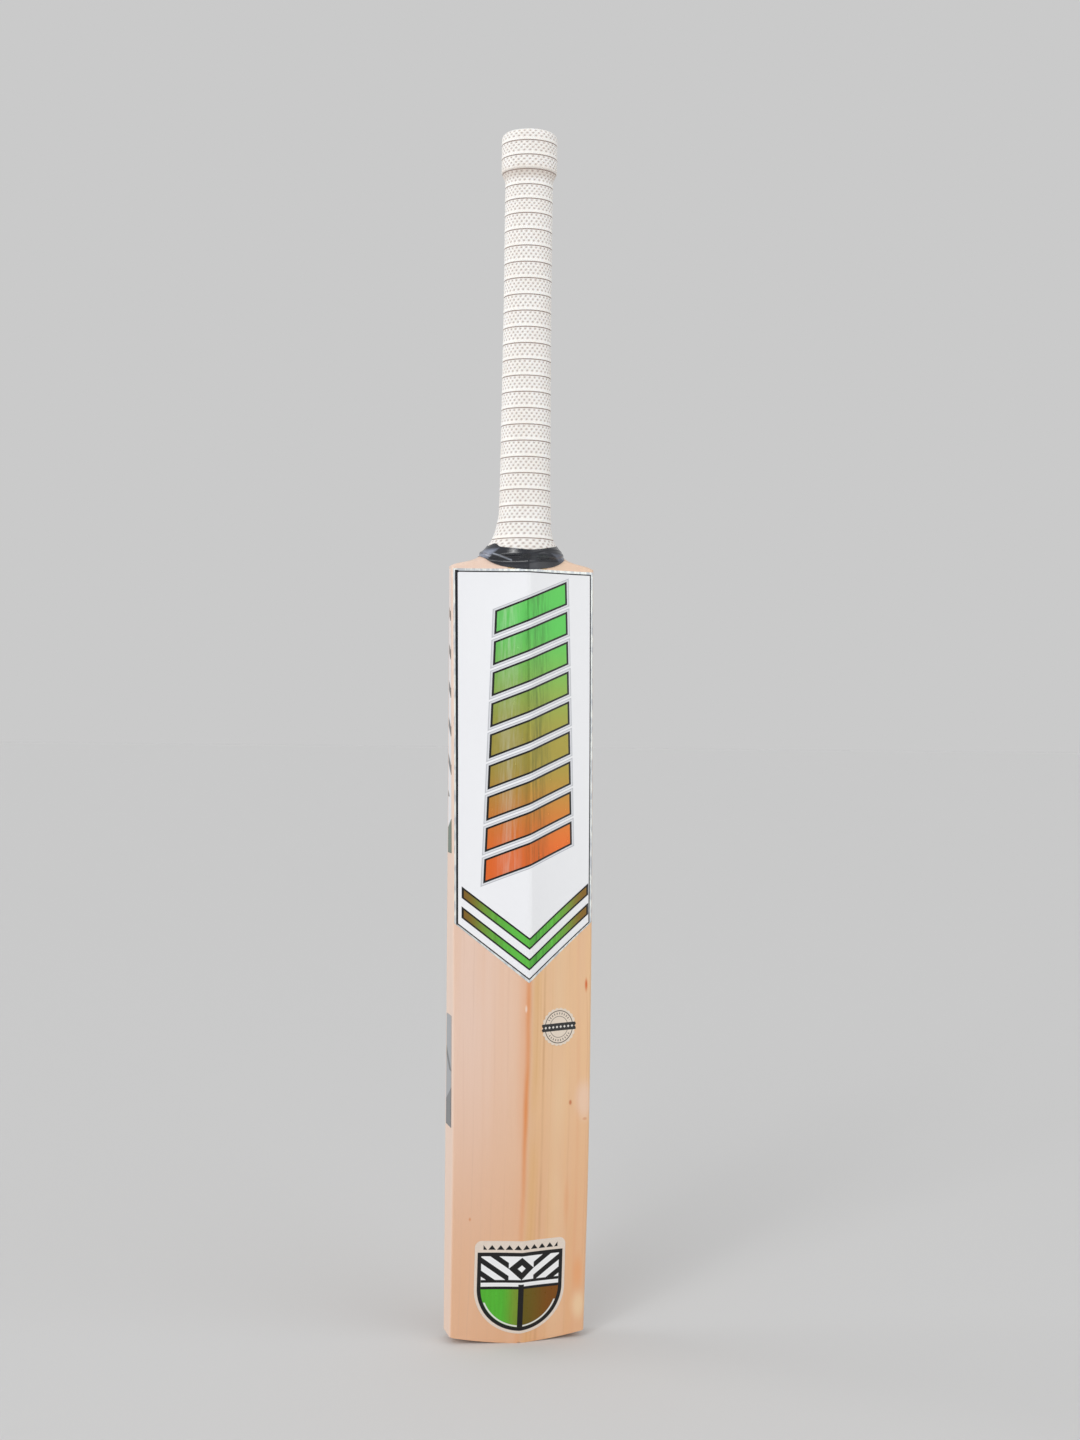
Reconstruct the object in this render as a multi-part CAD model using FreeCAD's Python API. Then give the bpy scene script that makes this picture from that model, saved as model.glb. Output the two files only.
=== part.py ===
"""A cricket bat: a willow blade with a spliced, sprung cane handle, binding, rubber grip and labels.

Frame, in millimetres: +Z runs from the toe to the top of the handle, with the toe's lowest point at z = 0.
+X runs across the blade from its centre line. The hitting face looks along +Y and the ridged back along -Y.
y = 0 is the middle of the whole bat's depth.
"""
import FreeCAD, Part
import math
import os

V = FreeCAD.Vector

# ---- blade ----
blade_length = 553.0        # toe to the square shoulders, on the centre line
shoulder_width = 105.0
toe_width = 98.5
toe_sagitta = 5.5           # how far the toe's corners lie above its middle
toe_face_radius = 6.0       # rounding of the toe towards the hitting face
toe_back_radius = 1.6
shoulder_edge = 13.4        # thickness of the blade's side edge at the shoulder
swell_edge = 30.0           # ... at its thickest
toe_edge = 25.5
edge_swell_height = 150.0   # where the side edge is thickest
edge_toe_fall = 2.0         # how the edge thins from there to the toe: 1 is straight
thinning = 1.4              # how edge and ridge fall off towards the shoulder: 1 is straight
shoulder_spine = 17.6       # height of the ridge over the side edges
swell_spine = 20.5
toe_spine = 5.0
spine_swell_height = 310.0
spine_toe_fall = 1.25       # how the ridge sinks from its highest point to the toe: 1 is straight
face_crown = 1.2            # how far the hitting face stands out along its middle
facet_hollow = 1.3          # how far each back facet dips between edge and ridge
bow = 1.5                   # how far the face is hollow lengthways
face_corner_radius = 4.0
back_corner_radius = 3.0
ridge_radius = 5.0

# ---- neck and splice ----
neck_height = 36.0          # how far the willow runs up beside the handle
shoulder_fall = 9.0         # the shoulders fall away from the handle by 1/e over this height
splice_length = 138.0       # depth of the splice below the shoulders
splice_tip_width = 4.0
splice_top_width = 28.6
glue_line = 0.1
cane_inset = 0.4            # the cane shaft is this much shallower, each side, than the willow neck

# ---- handle core ----
overall_length = 864.0
neck_core_width = 30.8      # the bare handle where it leaves the willow
core_top_diameter = 27.8
core_parallel_length = 85.4 # the parallel part, under the collar
spring_thickness = 1.5      # rubber strips between the cane slabs
middle_slab_depth = 9.0
slips_across = 4

# ---- wrappings ----
wrap_gap = 0.1              # between each wrapping and what it covers
twine_thickness = 0.8
twine_start = 14.0          # above the shoulders
whipping_thickness = 2.7    # the build-up under the grip's top end
whipping_length = 25.0
grip_thickness = 1.9
grip_start = 14.5           # above the shoulders
grip_lip = 3.0              # how far the grip's top end turns in over the cane
grip_end_rise = 1.6         # how far that lip stands over the cane
collar_taper = 9.0          # height of the slope from the collar to the shaft
ring_count = 26
ring_first = 8.0            # from the grip's lower edge to the first ring groove
ring_last = 7.0             # from the last ring groove to the grip's top
ring_groove_width = 0.9
ring_groove_depth = 0.45
tape_thickness = 0.4
tape_height = 15.4          # at the ridge, where its lower edge hangs lowest
tape_slope = 9.0            # how far that edge rises towards the shoulders
tape_width = 64.0

# ---- labels ----
label_thickness = 0.25
back_label_top = 2.0        # below the shoulders
back_label_side = 299.0     # height of the lower corners
back_label_tip = 258.4      # height of the point on the ridge
label_margin = 0.8          # from the back label's side to the blade's side
seal_diameter = 27.2
seal_x = 24.5
seal_height = 225.6
toe_label_width = 66.0
toe_label_top = 74.6
toe_label_bottom = 7.2
toe_label_corner = 5.0
side_label_margin = 2.5     # from a side label to the edge's corners
upper_side_label_bottom = 348.0
lower_side_label_bottom = 154.0
lower_side_label_top = 233.0

# ---- fineness of the lofts ----
blade_stations = 12
neck_stations = 10
shaft_stations = 8
oval_points = 16
beyond = 200.0              # half size of a tool that reaches past the bat

neck_top = blade_length + neck_height
grip_top = overall_length
core_top = overall_length - grip_end_rise
grip_bottom = blade_length + grip_start
collar_bottom = core_top - whipping_length
collar_foot = collar_bottom - collar_taper
taper_end = collar_foot - core_parallel_length
nodes = {}


def swell(z, low, peak, high, peak_height, toe_fall):
    """A size that grows from the toe to its peak, then falls off towards the shoulder."""
    if z <= peak_height:
        return peak - (peak - low) * ((peak_height - z) / peak_height) ** toe_fall
    share = (z - peak_height) / (blade_length - peak_height)
    return peak - (peak - high) * share ** thinning


def blade_half(z):
    return (toe_width + (shoulder_width - toe_width) * z / blade_length) / 2


def edge_thickness(z):
    return swell(z, toe_edge, swell_edge, shoulder_edge, edge_swell_height, edge_toe_fall)


def spine_height(z):
    return swell(z, toe_spine, swell_spine, shoulder_spine, spine_swell_height, spine_toe_fall)


def full_thickness(z):
    return edge_thickness(z) + spine_height(z)


def bow_at(z):
    share = min(max(z / blade_length, 0.0), 1.0)
    return 4 * bow * share * (1 - share)


neck_depth = full_thickness(blade_length) + face_crown
collar_radius = core_top_diameter / 2 + twine_thickness + whipping_thickness + grip_thickness + 3 * wrap_gap
deepest = max(full_thickness(z) + bow_at(z) for z in range(int(blade_length)))
handle_from_face = neck_depth / 2 - face_crown      # from the face's side edges back to the handle's axis
face_y = (deepest - (collar_radius - handle_from_face)) / 2
handle_y = face_y - handle_from_face


# ---- outlines ----
def rounded_corner(before, corner, after, radius):
    """The arc, as three points, that rounds a corner between two straight lines."""
    u = (before - corner).normalize()
    w = (after - corner).normalize()
    half = math.acos(u.dot(w)) / 2
    run = radius / math.tan(half)
    inward = (u + w).normalize()
    return corner + u * run, corner + inward * (radius / math.sin(half) - radius), corner + w * run


def bowed(start, end, rise):
    """An arc from start to end that stands out by rise, along a vector, at its middle."""
    return Part.Arc(start, (start + end) / 2 + rise, end).toShape()


def blade_section(z, grow=0.0):
    """The blade's outline at one height: face, rounded edges and two facets that meet at the ridge."""
    half = blade_half(z) + grow
    front = face_y - bow_at(z) + grow
    edge_back = front - edge_thickness(z) - 2 * grow
    ridge = edge_back - spine_height(z)
    outline = [(-half, front), (half, front), (half, edge_back), (0, ridge), (-half, edge_back)]
    corners = [V(x, y, z) for x, y in outline]
    radii = [face_corner_radius, face_corner_radius, back_corner_radius, ridge_radius, back_corner_radius]
    arcs = [
        rounded_corner(corners[i - 1], corners[i], corners[(i + 1) % len(corners)], radii[i])
        for i in range(len(corners))
    ]
    rises = [V(0, face_crown, 0), V(0, 0, 0), V(0, facet_hollow, 0), V(0, facet_hollow, 0), V(0, 0, 0)]
    edges = []
    for i, (start, middle, end) in enumerate(arcs):
        following = arcs[(i + 1) % len(arcs)][0]
        edges.append(Part.Arc(start, middle, end).toShape())
        if rises[i].Length:
            edges.append(bowed(end, following, rises[i]))
        else:
            edges.append(Part.makeLine(end, following))
    return Part.Wire(edges)


def oval(z, half_x, half_y, forward=0.0):
    """A closed smooth oval round the handle's axis, with its sides brought forward."""
    curve = Part.BSplineCurve()
    turns = [2 * math.pi * i / oval_points for i in range(oval_points)]
    points = [
        V(half_x * math.cos(t), handle_y + half_y * math.sin(t) + forward * math.cos(t) ** 2, z)
        for t in turns
    ]
    curve.interpolate(Points=points, PeriodicFlag=True)
    return Part.Wire(curve.toShape())


def between(low, high, count):
    return [low + (high - low) * i / count for i in range(count + 1)]


def loft(wires, ruled=False):
    return Part.makeLoft(wires, True, ruled)


def prism_y(points, y_low, y_high):
    """A straight-sided outline in x and z, carried along y."""
    wire = Part.makePolygon([V(x, y_low, z) for x, z in points + points[:1]])
    return Part.Face(wire).extrude(V(0, y_high - y_low, 0))


def slab(z_low, z_high):
    return Part.makeBox(2 * beyond, 2 * beyond, z_high - z_low, V(-beyond, -beyond, z_low))


# ---- handle sizes ----
def tapered(z, neck_size):
    """Half of a size of the bare cane, which narrows from the neck to the parallel part."""
    share = min(max((z - blade_length) / (taper_end - blade_length), 0.0), 1.0)
    return (neck_size + (core_top_diameter - neck_size) * share) / 2


def core_half_x(z):
    """Half the width of what the wrappings cover: willow shoulders low down, bare cane above."""
    spread = shoulder_width / 2 - neck_core_width / 2
    return tapered(z, neck_core_width) + spread * math.exp(-max(z - blade_length, 0.0) / shoulder_fall)


def core_half_y(z):
    return tapered(z, neck_depth)


def side_shift(z):
    """How far the neck's sides lie in front of the handle's axis, from the blade's edges up."""
    share = min(max((z - blade_length) / neck_height, 0.0), 1.0)
    return (handle_from_face - shoulder_edge / 2) * (1 - share ** 2)


def wrap_oval(z, extra):
    return oval(z, core_half_x(z) + extra, core_half_y(z) + extra, side_shift(z))


def wrap_form(heights, extra):
    """A solid round the neck and shaft that stands out from them by extra."""
    return loft([wrap_oval(z, extra) for z in heights])


def shaft_heights(low):
    """Loft heights from low to the handle's top, closer together where the neck flares."""
    flare_end = neck_top + shoulder_fall
    flare = between(low, flare_end, neck_stations)
    taper = between(flare_end, taper_end, shaft_stations)[1:]
    return flare + taper + between(taper_end, core_top, shaft_stations)[1:-1]


# ---- the willow ----
def blade_loft(grow=0.0):
    """The blade carried on past the toe and beside the handle, grown by grow all round."""
    heights = between(-toe_sagitta, neck_top + toe_sagitta, blade_stations)
    return loft([blade_section(z, grow) for z in heights])


def toe_envelope():
    """Everything below the shoulders and inside the toe's curve, rounded towards the hitting face."""
    corner_x = toe_width / 2
    toe_radius = (corner_x ** 2 + toe_sagitta ** 2) / (2 * toe_sagitta)
    front = face_y - bow_at(0) + face_crown
    disc = Part.makeCylinder(toe_radius, beyond, V(0, front - beyond, toe_radius), V(0, 1, 0))
    rim = [e for e in disc.Edges if e.BoundBox.YMin > front - face_crown]
    disc = disc.makeFillet(toe_face_radius, rim)
    join = toe_sagitta + toe_face_radius + toe_back_radius
    return slab(join, blade_length).fuse(disc.common(slab(-beyond, join)))


def soften_toe(form):
    """Rounds the toe's lower edges along the two back facets."""
    low = toe_sagitta + toe_back_radius
    edges = [e for e in form.Edges if e.BoundBox.ZMax < low and e.CenterOfMass.y < face_y - swell_edge]
    return form.makeFillet(toe_back_radius, edges)


def neck_form(low, grow=0.0):
    return wrap_form(between(low, neck_top, neck_stations), grow)


def splice_wedge(clearance):
    """A wedge through the whole depth, from its blunt tip to the shoulders and straight up the neck."""
    tip_z = blade_length - splice_length - clearance
    tip_half = splice_tip_width / 2 + clearance
    top_half = splice_top_width / 2 + clearance
    right = [(tip_half, tip_z), (top_half, blade_length), (top_half, neck_top + beyond)]
    left = [(-x, z) for x, z in reversed(right)]
    return prism_y(right + left, -beyond, beyond)


def make_blade():
    """The willow: the blade, and beside the handle two horns that run up from the shoulders."""
    full = blade_loft()
    slot = splice_wedge(glue_line)
    body = soften_toe(full.common(toe_envelope()))
    horns = full.common(neck_form(blade_length - shoulder_fall)).common(slab(blade_length, neck_top))
    return body.cut(slot).fuse(horns.cut(slot))


nodes["blade"] = make_blade()


# ---- the handle's core: cane slabs with rubber between them, each slab of several slips ----
def cane_oval(z):
    return oval(z, tapered(z, neck_core_width), core_half_y(z) - cane_inset)


def make_neck_cane():
    """The foot of the cane shaft, beside the willow of the neck, where it keeps to the splice's width."""
    half = splice_top_width / 2
    between_horns = Part.makeBox(2 * half, 2 * beyond, neck_height, V(-half, -beyond, blade_length))
    foot = loft([cane_oval(z) for z in between(blade_length - cane_inset, neck_top + cane_inset, shaft_stations)])
    return foot.common(between_horns).common(blade_loft())


def make_shaft_cane():
    heights = between(neck_top, taper_end, shaft_stations) + between(taper_end, core_top, shaft_stations)[1:]
    return loft([cane_oval(z) for z in heights])


neck_cane = make_neck_cane()
shaft_cane = make_shaft_cane()
wedge = blade_loft().common(splice_wedge(0.0)).common(slab(0, blade_length))


def core_layer(y_low, y_high, x_low=-beyond, x_high=beyond):
    """The part of the core between four planes: one piece through the splice, the neck and the shaft."""
    box = Part.makeBox(x_high - x_low, y_high - y_low, overall_length, V(x_low, y_low, 0))
    return wedge.common(box).fuse([neck_cane.common(box), shaft_cane.common(box)])


middle_back = handle_y - middle_slab_depth / 2
middle_front = handle_y + middle_slab_depth / 2
nodes["spring_back"] = core_layer(middle_back - spring_thickness, middle_back)
nodes["spring_front"] = core_layer(middle_front, middle_front + spring_thickness)
slabs = {
    "cane_back": (-beyond, middle_back - spring_thickness),
    "cane_middle": (middle_back, middle_front),
    "cane_front": (middle_front + spring_thickness, beyond),
}
slip_width = core_top_diameter / slips_across
slip_sides = [(i - slips_across / 2) * slip_width for i in range(1, slips_across)]
slip_sides = [-beyond] + slip_sides + [beyond]
for slab_name, (y_low, y_high) in slabs.items():
    for i in range(slips_across):
        nodes[f"{slab_name}_{i + 1}"] = core_layer(y_low, y_high, slip_sides[i], slip_sides[i + 1])


# ---- wrappings, each round the one below ----
axis_foot = V(0, handle_y, 0)
core_radius = core_top_diameter / 2
twine_outer = wrap_gap + twine_thickness
grip_inner = twine_outer + wrap_gap
grip_outer = grip_inner + grip_thickness
whipping_inner = core_radius + twine_outer + wrap_gap
whipping_outer = whipping_inner + whipping_thickness


def turned(profile):
    """A solid of revolution round the handle's axis, from a closed profile of radius and height."""
    wire = Part.makePolygon([axis_foot + V(r, 0, z) for r, z in profile + profile[:1]])
    return Part.Face(wire).revolve(axis_foot, V(0, 0, 1), 360)


def sleeve_form(low, high, extra):
    return wrap_form(shaft_heights(low) + [high], extra)


def make_twine():
    low = blade_length + twine_start
    outer = sleeve_form(low, core_top, twine_outer)
    return outer.cut(sleeve_form(low, core_top, wrap_gap))


def make_whipping():
    return turned(
        [
            (whipping_inner, collar_bottom),
            (whipping_outer, collar_bottom + whipping_thickness),
            (whipping_outer, core_top),
            (whipping_inner, core_top),
        ]
    )


def ring_grooves(low, high):
    """The grip's ring grooves that begin between two heights, evenly spaced over the whole grip."""
    first = grip_bottom + ring_first
    pitch = (grip_top - ring_last - first) / (ring_count - 1)
    starts = [first + i * pitch for i in range(ring_count)]
    return [z for z in starts if low < z < high - ring_groove_width]


def groove_walls(start):
    """The four corners of one groove as (height, depth), with walls that slant a little."""
    end = start + ring_groove_width
    slant = ring_groove_width / 4
    return [(start, 0.0), (start + slant, ring_groove_depth), (end - slant, ring_groove_depth), (end, 0.0)]


def make_grip_shaft():
    """The ribbed sleeve from the flared neck to just under the collar."""
    corners = [(z, 0.0) for z in shaft_heights(grip_bottom) if z < collar_foot] + [(collar_foot, 0.0)]
    grooves = [groove_walls(z) for z in ring_grooves(grip_bottom, collar_foot)]
    spans = [(walls[0][0], walls[-1][0]) for walls in grooves]
    corners = [c for c in corners if not any(low <= c[0] <= high for low, high in spans)]
    corners += [corner for walls in grooves for corner in walls]
    wires = []
    for z, depth in sorted(corners):
        wires.append(wrap_oval(z, grip_outer - depth))
    hole = wrap_form([grip_bottom] + shaft_heights(grip_bottom)[1:] + [core_top], grip_inner)
    return loft(wires, True).cut(hole)


def make_grip_collar():
    """The thick top end, turned round the handle's axis. Its foot lies in a groove of its own."""
    shaft_radius = core_radius + grip_outer
    foot = shaft_radius - ring_groove_depth
    outline = [(foot, collar_foot), (foot, collar_foot + ring_groove_width)]
    outline.append((shaft_radius, collar_foot + ring_groove_width))
    outline.append((collar_radius, collar_bottom))
    for start in ring_grooves(collar_bottom, grip_top - grip_lip):
        outline += [(collar_radius - depth, z) for z, depth in groove_walls(start)]
    outline += [
        (collar_radius, grip_top - grip_lip),
        (collar_radius - grip_lip * (1 - math.sqrt(0.5)), grip_top - grip_lip * (1 - math.sqrt(0.5))),
        (collar_radius - grip_lip, grip_top),
        (core_radius - grip_lip, grip_top),
        (core_radius - grip_lip, core_top),
        (whipping_outer + wrap_gap, core_top),
        (whipping_outer + wrap_gap, collar_bottom),
        (core_radius + grip_inner, collar_foot + ring_groove_width),
        (core_radius + grip_inner, collar_foot),
    ]
    return turned(outline)


def make_grip():
    """A ribbed rubber sleeve over twine and collar, open at the top."""
    return make_grip_shaft().fuse(make_grip_collar())


nodes["twine_binding"] = make_twine()
nodes["collar_whipping"] = make_whipping()
nodes["grip"] = make_grip()


# ---- what is stuck on the willow ----
def skin(thickness):
    """A layer of one thickness over the blade, as the space between the grown blade and the blade."""
    return blade_loft(thickness).cut(blade_loft())


def make_tape():
    """A band round the shoulders' neck, whose lower edge hangs in a shallow curve back and front."""
    top = blade_length + twine_start - wrap_gap
    bottom = top - tape_height
    right = V(tape_width / 2, -beyond, bottom + tape_slope)
    left = V(-right.x, right.y, right.z)
    right_top = V(right.x, right.y, top)
    left_top = V(left.x, left.y, top)
    edges = [
        Part.Arc(left, V(0, -beyond, bottom), right).toShape(),
        Part.makeLine(right, right_top),
        Part.makeLine(right_top, left_top),
        Part.makeLine(left_top, left),
    ]
    band = Part.Face(Part.Wire(edges)).extrude(V(0, 2 * beyond, 0))
    low = bottom - tape_slope
    outer = blade_loft(tape_thickness).common(neck_form(low, tape_thickness))
    return outer.common(band).cut(blade_loft().common(neck_form(low)))


def back_side(outline):
    """A tool that reaches the back facets only: an outline face at the far back, carried forward."""
    return outline.extrude(V(0, beyond + face_y - shoulder_edge / 2, 0))


def back_label_outline():
    top = blade_length - back_label_top
    heights = [top, back_label_side]
    right = [V(blade_half(z) - label_margin, -beyond, z) for z in heights]
    left = [V(-p.x, p.y, p.z) for p in reversed(right)]
    points = right + [V(0, -beyond, back_label_tip)] + left
    return Part.Face(Part.makePolygon(points + points[:1]))


def toe_label_outline():
    """A shield: square shoulders with small round corners, and a half circle below."""
    half = toe_label_width / 2
    centre_z = toe_label_bottom + half
    top = toe_label_top
    corner = toe_label_corner
    inset = corner * (1 - math.sqrt(0.5))
    right = [(half, top - corner), (half - inset, top - inset), (half - corner, top)]
    right = [V(x, -beyond, z) for x, z in right]
    left = [V(-p.x, p.y, p.z) for p in reversed(right)]
    right_foot = V(half, -beyond, centre_z)
    left_foot = V(-half, -beyond, centre_z)
    edges = [
        Part.Arc(left_foot, V(0, -beyond, toe_label_bottom), right_foot).toShape(),
        Part.makeLine(right_foot, right[0]),
        Part.Arc(*right).toShape(),
        Part.makeLine(right[-1], left[0]),
        Part.Arc(*left).toShape(),
        Part.makeLine(left[-1], left_foot),
    ]
    return Part.Face(Part.Wire(edges))


def side_label(side, low, high):
    """A label along one side edge of the blade: side is -1 or 1."""
    heights = between(low, high, blade_stations)
    y_front = [face_y - bow_at(z) - face_corner_radius - side_label_margin for z in heights]
    y_back = [
        face_y - bow_at(z) - edge_thickness(z) + back_corner_radius + side_label_margin for z in heights
    ]
    points = [V(0, y, z) for y, z in zip(y_front, heights)]
    points += [V(0, y, z) for y, z in zip(reversed(y_back), reversed(heights))]
    tool = Part.Face(Part.makePolygon(points + points[:1])).extrude(V(side * beyond, 0, 0))
    return label_skin.common(tool)


label_skin = skin(label_thickness)
seal_face = Part.Face(
    Part.Wire(Part.makeCircle(seal_diameter / 2, V(seal_x, -beyond, seal_height), V(0, 1, 0)))
)
nodes["shoulder_tape"] = make_tape()
nodes["back_label"] = label_skin.common(back_side(back_label_outline()))
nodes["seal_label"] = label_skin.common(back_side(seal_face))
nodes["toe_label"] = label_skin.common(back_side(toe_label_outline()))
for side_name, side in (("left", -1), ("right", 1)):
    upper_top = blade_length - back_label_top
    nodes[f"edge_label_{side_name}_upper"] = side_label(side, upper_side_label_bottom, upper_top)
    nodes[f"edge_label_{side_name}_lower"] = side_label(side, lower_side_label_bottom, lower_side_label_top)

os.makedirs("parts", exist_ok=True)
for name, shape in nodes.items():
    shape.exportStep(f"parts/{name}.step")
    print(name, len(shape.Solids), shape.isValid(), round(shape.Volume))
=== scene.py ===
import math

import bpy
from mathutils import Matrix, Vector


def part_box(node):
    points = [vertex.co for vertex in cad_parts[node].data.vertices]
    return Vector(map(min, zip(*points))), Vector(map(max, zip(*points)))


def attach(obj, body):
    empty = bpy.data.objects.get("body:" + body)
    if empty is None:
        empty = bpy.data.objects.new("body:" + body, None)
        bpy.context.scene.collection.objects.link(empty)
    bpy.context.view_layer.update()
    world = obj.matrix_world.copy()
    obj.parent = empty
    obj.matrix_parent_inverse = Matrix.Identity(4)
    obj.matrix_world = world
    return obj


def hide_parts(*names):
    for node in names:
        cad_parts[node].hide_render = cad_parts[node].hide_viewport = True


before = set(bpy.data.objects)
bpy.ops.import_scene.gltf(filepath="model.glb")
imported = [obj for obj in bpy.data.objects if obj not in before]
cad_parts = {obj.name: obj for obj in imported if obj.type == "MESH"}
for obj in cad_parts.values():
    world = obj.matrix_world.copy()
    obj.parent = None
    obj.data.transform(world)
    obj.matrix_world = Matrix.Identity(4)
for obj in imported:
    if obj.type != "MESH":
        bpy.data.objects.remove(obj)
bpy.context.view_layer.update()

# Looks of a full-size cricket bat, seen from its back. Sizes are millimetres in the CAD's frame:
# +Z from the toe to the handle's top, +X across the blade, +Y towards the hitting face.
MM = 0.001
EDGE_SOFTNESS = 0.25                # how wide a printed edge's blur is
NODE_SMOOTH_ANGLE = 30              # CAD edges sharper than this many degrees stay sharp

# ---- sizes taken from the frame ----
blade_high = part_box("blade")[1] / MM
label_low, label_high = (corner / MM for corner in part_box("back_label"))
seal_low, seal_high = (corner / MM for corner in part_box("seal_label"))
shield_low, shield_high = (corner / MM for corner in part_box("toe_label"))
grip_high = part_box("grip")[1] / MM
whipping_low, whipping_high = (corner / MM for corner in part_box("collar_whipping"))
HANDLE_Y = (whipping_low.y + whipping_high.y) / 2
GRIP_TOP = grip_high.z

# ---- driving sizes, as in the part's source ----
BLADE_LENGTH = 553.0                # toe to shoulders
SHOULDER_WIDTH = 105.0
TOE_WIDTH = 98.5
NECK_WIDTH = 30.8                   # the handle's core at the shoulders
NECK_DEPTH = 32.2
SHAFT_DIAMETER = 27.8               # the handle's core where its taper ends
SHAFT_TAPER = 190.0                 # height of that taper, from the shoulders
SHOULDER_FALL = 9.0                 # how fast the shoulders close in on the neck
SHOULDER_EDGE = 13.4                # the blade's side edge at the shoulders
SHOULDER_SPINE = 17.6               # the ridge's height over it
FACE_CROWN = 1.2
FACET_HOLLOW = 1.3
SIDES_FORWARD = 8.2                 # how far the neck's sides lie before the handle's axis
NECK_HEIGHT = 36.0                  # over this height they draw back to it from the shoulders
GRIP_STAND = 3.2                    # from the core to the grip's outside
COLLAR_FOOT = 828.4                 # the grip begins to swell here
COLLAR_START = 837.4                # ... and is as thick as the collar here
COLLAR_RADIUS = 19.9


def mixed(low, high, share):
    return low + (high - low) * share


def clamped(value, low=0.0, high=1.0):
    return min(max(value, low), high)


def eased(value):
    share = clamped(value)
    return share * share * (3 - 2 * share)


def colour(red, green, blue):
    """A linear colour from display values of 0 to 255."""
    parts = [value / 255 for value in (red, green, blue)]
    linear = [part / 12.92 if part <= 0.04045 else ((part + 0.055) / 1.055) ** 2.4 for part in parts]
    return (*linear, 1.0)


def blade_half(z):
    """Half the blade's width at a height, as a number or a field."""
    return z * ((SHOULDER_WIDTH - TOE_WIDTH) / 2 / BLADE_LENGTH) + TOE_WIDTH / 2


# ---- shader helpers ----
class Field:
    """A value inside a material that ordinary arithmetic combines with others."""

    def __init__(self, graph, socket):
        self.graph = graph
        self.socket = socket

    def math(self, operation, *others, clamp=False):
        node = self.graph.node("ShaderNodeMath", operation=operation, use_clamp=clamp)
        for socket, value in zip(node.inputs, (self, *others)):
            self.graph.feed(socket, value)
        return Field(self.graph, node.outputs[0])

    def __add__(self, other):
        return self.math("ADD", other)

    def __sub__(self, other):
        return self.math("SUBTRACT", other)

    def __mul__(self, other):
        return self.math("MULTIPLY", other)

    def __truediv__(self, other):
        return self.math("DIVIDE", other)

    __radd__ = __add__
    __rmul__ = __mul__

    def size(self):
        return self.math("ABSOLUTE")

    def least(self, other):
        return self.math("MINIMUM", other)

    def most(self, other):
        return self.math("MAXIMUM", other)

    def power(self, exponent):
        return self.math("POWER", exponent)

    def sine(self):
        return self.math("SINE")

    def wrap(self, period):
        """The distance into a repeat, from 0 to period."""
        return self.math("WRAP", period, 0.0)

    def clipped(self):
        return self.math("ADD", 0.0, clamp=True)

    def inside(self, blur=EDGE_SOFTNESS):
        """1 where this signed distance is positive, falling to 0 over blur."""
        return self.math("DIVIDE", blur).math("ADD", 0.5, clamp=True)

    def near(self, place, width):
        """1 at place, falling smoothly to 0 at width away."""
        return self.ramp(width, 0.0, (self - place).size())

    def ramp(self, low, high, value=None):
        """0 at low and 1 at high, eased between."""
        node = self.graph.node("ShaderNodeMapRange", interpolation_type="SMOOTHSTEP")
        source = self if value is None else value
        for socket, item in zip(node.inputs, (source, low, high)):
            self.graph.feed(socket, item)
        return Field(self.graph, node.outputs[0])


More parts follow.
